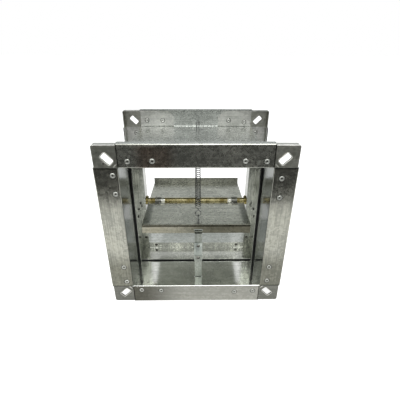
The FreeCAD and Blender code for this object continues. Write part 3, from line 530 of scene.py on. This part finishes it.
# The groove's and the dish's painted shade: a flat dark ring and a flat dark dot.
GROOVE_SHADE_PROFILE = [(3.5, 0.04), (4.3, 0.04), (4.3, -0.1), (3.5, -0.1), (3.5, 0.04)]
DISH_SHADE_PROFILE = [(0.0, 0.03), (1.0, 0.03), (1.0, -0.1), (0.0, -0.1)]
SPIN_STEPS = 14


def settle(bm, turn, place):
    """Turn and move what was made since the last call."""
    fresh = [vert for vert in bm.verts if not vert.tag]
    bmesh.ops.rotate(bm, verts=fresh, cent=(0, 0, 0), matrix=turn)
    bmesh.ops.translate(bm, verts=fresh, vec=place)
    for vert in fresh:
        vert.tag = True


def spun_button(bm, profile, place, outward):
    """A profile of (radius, height) spun round an axis at this place, its heights along outward."""
    line = [bm.verts.new((radius * MM, 0, height * MM)) for radius, height in profile]
    edges = [bm.edges.new(pair) for pair in zip(line, line[1:])]
    bmesh.ops.spin(bm, geom=line + edges, cent=(0, 0, 0), axis=(0, 0, 1), angle=2 * math.pi, steps=SPIN_STEPS)
    settle(bm, Vector(outward).to_track_quat("Z", "X").to_matrix(), place)


print("a clinch is", 2 * max(radius for radius, height in CLINCH_PROFILE), "mm wide")

# %% Finish a piece of small trim
SHARP_FROM, MERGE_WITHIN = math.radians(80), 0.01 * MM


def finish_small(name, bm, material):
    """Merge, smooth between sharp bends, and hand over a piece of small trim on the casing."""
    bmesh.ops.remove_doubles(bm, verts=bm.verts, dist=MERGE_WITHIN)
    bmesh.ops.recalc_face_normals(bm, faces=bm.faces)
    for face in bm.faces:
        face.smooth = True
    for edge in bm.edges:
        edge.smooth = edge.calc_face_angle() < SHARP_FROM
    piece_from(name, bm, material, "casing")


print("bends stay sharp from", round(math.degrees(SHARP_FROM)), "degrees")

# %% [markdown]
# The outer clinches show on the flanges' faces, and the inner ones on the arms behind the strips, between
# the two flanges. A hand held press sets them, so they stand a little out of line, and an array would look
# too even. Each place is given across and up, in millimetres.

# %% Clinches on the flanges
OUTER_CLINCHES_MM = {"top": ((-86, 108), (-55, 108.5), (62, 108.5), (89, 108)),
                     "left": ((-106.5, 89), (-106, 62.5), (-109, -61), (-107.5, -89.5)),
                     "right": ((110.5, 84.5), (111, 56.5), (110, -62), (109.5, -89)),
                     "bottom": ((-86, -107), (-55.5, -108.5), (60, -112), (89, -110))}
INNER_CLINCHES_MM = {"top": ((-88, 111), (-60, 111), (59, 111), (87, 108)),
                     "bottom": ((-88, -110), (-60, -110), (59, -110), (87, -110)),
                     "left": ((-109, 88), (-109, 60), (-109, -60), (-109, -88)),
                     "right": ((109, 88), (109, 60), (109, -60), (109, -88))}
FACE_TO_ARM_BACK = 2.7 * MM
FACE_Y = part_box("casing_top")[1].y
ARM_BACK_Y = FACE_Y - FACE_TO_ARM_BACK

clinches, groove_shades = bmesh.new(), bmesh.new()
for face_sign in (-1, 1):
    for sides, plane_y, way in ((OUTER_CLINCHES_MM, FACE_Y, 1), (INNER_CLINCHES_MM, ARM_BACK_Y, -1)):
        for x, z in (spot for spots in sides.values() for spot in spots):
            place, outward = Vector((x * MM, face_sign * plane_y, z * MM)), (0, face_sign * way, 0)
            spun_button(clinches, CLINCH_PROFILE, place, outward)
            # Each clinch gets a dark ring and a dot of painted shade.
            spun_button(groove_shades, GROOVE_SHADE_PROFILE, place, outward)
            spun_button(groove_shades, DISH_SHADE_PROFILE, place, outward)
finish_small("flange_clinches", clinches, clinch_sheet)
finish_small("painted_clinch_shade", groove_shades, groove_shade)

# %% [markdown]
# Pressing the corner pieces raises a rounded bead round each bolt slot and a short rib across the inner
# corner, which stiffen the plate. A bevelled curve could trace the bead. Here it is a small circle of
# section led round a rectangle with rounded corners, where a straight run is an extrusion and a corner is a
# quarter spin.

# %% Shape of a bead
BEAD_HALF_LONG, BEAD_HALF_WIDE, BEAD_CORNER, BEAD_RADIUS = 8.2 * MM, 4.95 * MM, 2.2 * MM, 0.55 * MM
BEAD_SIDES, CORNER_STEPS = 8, 3


def slot_bead(bm):
    """A closed bead round the slot, its long way along X."""
    rim = bmesh.ops.create_circle(bm, cap_ends=False, segments=BEAD_SIDES, radius=BEAD_RADIUS)["verts"]
    bmesh.ops.translate(bm, verts=rim, vec=(BEAD_HALF_LONG, 0, BEAD_CORNER - BEAD_HALF_WIDE))
    edges = list(dict.fromkeys(edge for vert in rim for edge in vert.link_edges))
    way, corner = Vector((0, 0, 1)), Vector((BEAD_HALF_LONG - BEAD_CORNER, 0, BEAD_HALF_WIDE - BEAD_CORNER))
    for half in (BEAD_HALF_WIDE, BEAD_HALF_LONG, BEAD_HALF_WIDE, BEAD_HALF_LONG):
        run = bmesh.ops.extrude_edge_only(bm, edges=edges)["geom"]
        far_verts = [made for made in run if isinstance(made, bmesh.types.BMVert)]
        bmesh.ops.translate(bm, verts=far_verts, vec=way * 2 * (half - BEAD_CORNER))
        far_rim = [made for made in run if isinstance(made, bmesh.types.BMEdge)
                   and all(vert in run for vert in made.verts) and len(made.link_faces) == 1]
        turned = bmesh.ops.spin(bm, geom=far_rim + far_verts, cent=corner, axis=(0, -1, 0), angle=math.pi / 2,
                                steps=CORNER_STEPS)["geom_last"]
        edges = [made for made in turned if isinstance(made, bmesh.types.BMEdge)]
        way = Matrix.Rotation(-math.pi / 2, 3, "Y") @ way
        corner = Vector((-corner.x, 0, corner.z)) if abs(way.x) > 0.5 else Vector((corner.x, 0, -corner.z))


print("a bead is", round(2 * BEAD_HALF_LONG / MM, 1), "by", round(2 * BEAD_HALF_WIDE / MM, 1), "mm")

# %% [markdown]
# All eight corners take the same bead and rib, turned by an eighth of a circle so that they lie across the
# corner. The rib is a ball stretched along its length and sunk in the plate, which rounds off its ends.

# %% Beads and ribs on the corner pieces
SLOT_PLACE, RIB_PLACE = 111.3 * MM, 102.3 * MM
RIB_HALF_LONG, RIB_HALF_WIDE, RIB_SUNK, RIB_SEGMENTS, RIB_RINGS = 3.4 * MM, 0.6 * MM, 0.5 * MM, 10, 6

beads = bmesh.new()
for face_sign in (-1, 1):
    for across in (-1, 1):
        for up_down in (-1, 1):
            turn = Matrix.Rotation(-across * up_down * math.pi / 4, 3, "Y")
            slot_bead(beads)
            settle(beads, turn, (across * SLOT_PLACE, face_sign * FACE_Y, up_down * SLOT_PLACE))
            rib = bmesh.ops.create_uvsphere(beads, u_segments=RIB_SEGMENTS, v_segments=RIB_RINGS, radius=1.0)
            bmesh.ops.scale(beads, verts=rib["verts"], vec=(RIB_HALF_WIDE, RIB_HALF_WIDE, RIB_HALF_LONG))
            settle(beads, turn, (across * RIB_PLACE, face_sign * (FACE_Y - RIB_SUNK), up_down * RIB_PLACE))
finish_small("corner_beads", beads, worn_edge)

# %% [markdown]
# The studio is white paper in a light grey room with soft lamps, and the camera sees its surroundings as
# pure white. More light would whiten them too, but it would also burn out the sheet. So a light path node
# tells what kind of ray looks at the paper or the room, and only the camera, mirror and glass rays meet the
# white.

# %% Which rays see the white backdrop
WHITE = "#ffffff"


def backdrop_share(owner, **shares):
    """How much of the white backdrop each kind of ray sees; diffuse light meets only the lit surroundings."""
    path = add(owner, "LightPath")
    seen = 0.0
    for kind, share in shares.items():
        seen = add(owner, "Math", {"operation": "MULTIPLY_ADD"}, _0=path.outputs[f"Is {kind} Ray"], _1=share,
                   _2=seen).outputs[0]
    return seen


print("the backdrop is", WHITE)

# %% Paper and room
PAPER_GREY, PAPER_ROUGHNESS, ROOM_GREY, ROOM_STRENGTH = "#dededc", 0.9, "#c9cbcc", 0.8

paper, paper_shader = new_material("white_paper_floor")
glow = backdrop_share(paper, Camera=0.75, Glossy=0.3, Transmission=0.3)
feed(paper_shader, Base_Color=linear(PAPER_GREY), Roughness=PAPER_ROUGHNESS, Emission_Color=linear(WHITE),
     Emission_Strength=glow)

world = bpy.data.worlds.new("studio")
bpy.context.scene.world = world
world.use_nodes = True
room = feed(world.node_tree.nodes["Background"], Color=linear(ROOM_GREY), Strength=ROOM_STRENGTH)
white = add(world, "Background", Color=linear(WHITE))
mix = add(world, "MixShader", _0=backdrop_share(world, Camera=1.0, Glossy=1.0, Transmission=1.0),
          _1=room.outputs[0], _2=white.outputs[0])
feed(world.node_tree.nodes["World Output"], _0=mix.outputs[0])
print("paper", PAPER_GREY, "in a room of", ROOM_GREY)

# %% [markdown]
# Sheet metal shows the room it stands in. A photographer shapes that with cards that stay out of the
# picture, and so does this studio. A dark card on the floor in front gives the flange its dark upper half,
# and the paper gives the lower half its light. Behind the damper stand a grey wall card and, above it, a
# white one for a window, which the duct's glossy floor mirrors as bright bands at its sides. Only mirror
# rays see the cards.

# %% Planes of the studio


def stage_plane(name, low, high, place, material, upright=False):
    """A rectangle between a low and a high corner, at this height, or at this Y where it stands upright."""
    bm = bmesh.new()
    corners = bmesh.ops.create_grid(bm, x_segments=1, y_segments=1, size=0.5)["verts"]
    bmesh.ops.scale(bm, verts=corners, vec=(high[0] - low[0], high[1] - low[1], 1))
    bmesh.ops.translate(bm, verts=corners, vec=((low[0] + high[0]) / 2, (low[1] + high[1]) / 2,
                                                -place if upright else place))
    if upright:
        bmesh.ops.rotate(bm, verts=corners, cent=(0, 0, 0), matrix=Matrix.Rotation(math.pi / 2, 3, "X"))
    mesh = bpy.data.meshes.new(name)
    bm.to_mesh(mesh)
    bm.free()
    plane = bpy.data.objects.new(name, mesh)
    bpy.context.scene.collection.objects.link(plane)
    mesh.materials.append(material)
    return plane


print("the damper stands at", round(cad_box[0][2] / MM, 1), "mm")

# %% Place the paper and the cards
PAPER_LOW, PAPER_HIGH, CARD_HALF_WIDE = (-4, -4), (4, 6), 3
CARD_FRONT, CARD_BACK, CARD_LIFT = -4, -0.425, 2 * MM
WALL_PLACE, WALL_LOW, WALL_MIDDLE, WALL_HIGH = 1.6, 0.25, 1.15, 2.4
FLOOR_CARD_GREY, WALL_CARD_GREY = "#565654", "#c6c9c8"
FLOOR_Z = cad_box[0][2]


def reflection_card(name, grey, low, high, place, upright=False):
    """A card that only the metal's reflections see, and that shows its grey in any light."""
    material, shader = new_material(name)
    feed(shader, Base_Color=linear("#000000"), Specular_IOR_Level=0.0, Emission_Color=linear(grey),
         Emission_Strength=1.0)
    card = stage_plane(name, low, high, place, material, upright)
    card.visible_camera = card.visible_diffuse = card.visible_shadow = False
    print(name, "from", low, "to", high)


stage_plane("paper", PAPER_LOW, PAPER_HIGH, FLOOR_Z, paper)
reflection_card("floor_card", FLOOR_CARD_GREY, (-CARD_HALF_WIDE, CARD_FRONT), (CARD_HALF_WIDE, CARD_BACK),
                FLOOR_Z + CARD_LIFT)
reflection_card("wall_card", WALL_CARD_GREY, (-CARD_HALF_WIDE, WALL_LOW), (CARD_HALF_WIDE, WALL_MIDDLE),
                WALL_PLACE, upright=True)
reflection_card("window_card", WHITE, (-CARD_HALF_WIDE, WALL_MIDDLE), (CARD_HALF_WIDE, WALL_HIGH),
                WALL_PLACE, upright=True)

# %% [markdown]
# Two soft lamps light the damper, a strong one above and in front, and a weak one at the left. Point lamps
# would throw hard shadows into the duct, so both are wide squares of light, aimed at the damper's middle.

# %% Lamps
LAMPS = {"top_lamp": ((0.1, -0.75, 1.35), 1.0, 18), "left_lamp": ((-1.3, -0.5, 0.8), 0.8, 7)}

for name, (place, size, watts) in LAMPS.items():
    lamp_data = bpy.data.lights.new(name, "AREA")
    lamp_data.size, lamp_data.energy = size, watts
    lamp = bpy.data.objects.new(name, lamp_data)
    lamp.location = place
    lamp.rotation_euler = (-Vector(place)).to_track_quat("-Z", "Y").to_euler()
    bpy.context.scene.collection.objects.link(lamp)
    print(name, watts, "W,", size, "m wide")
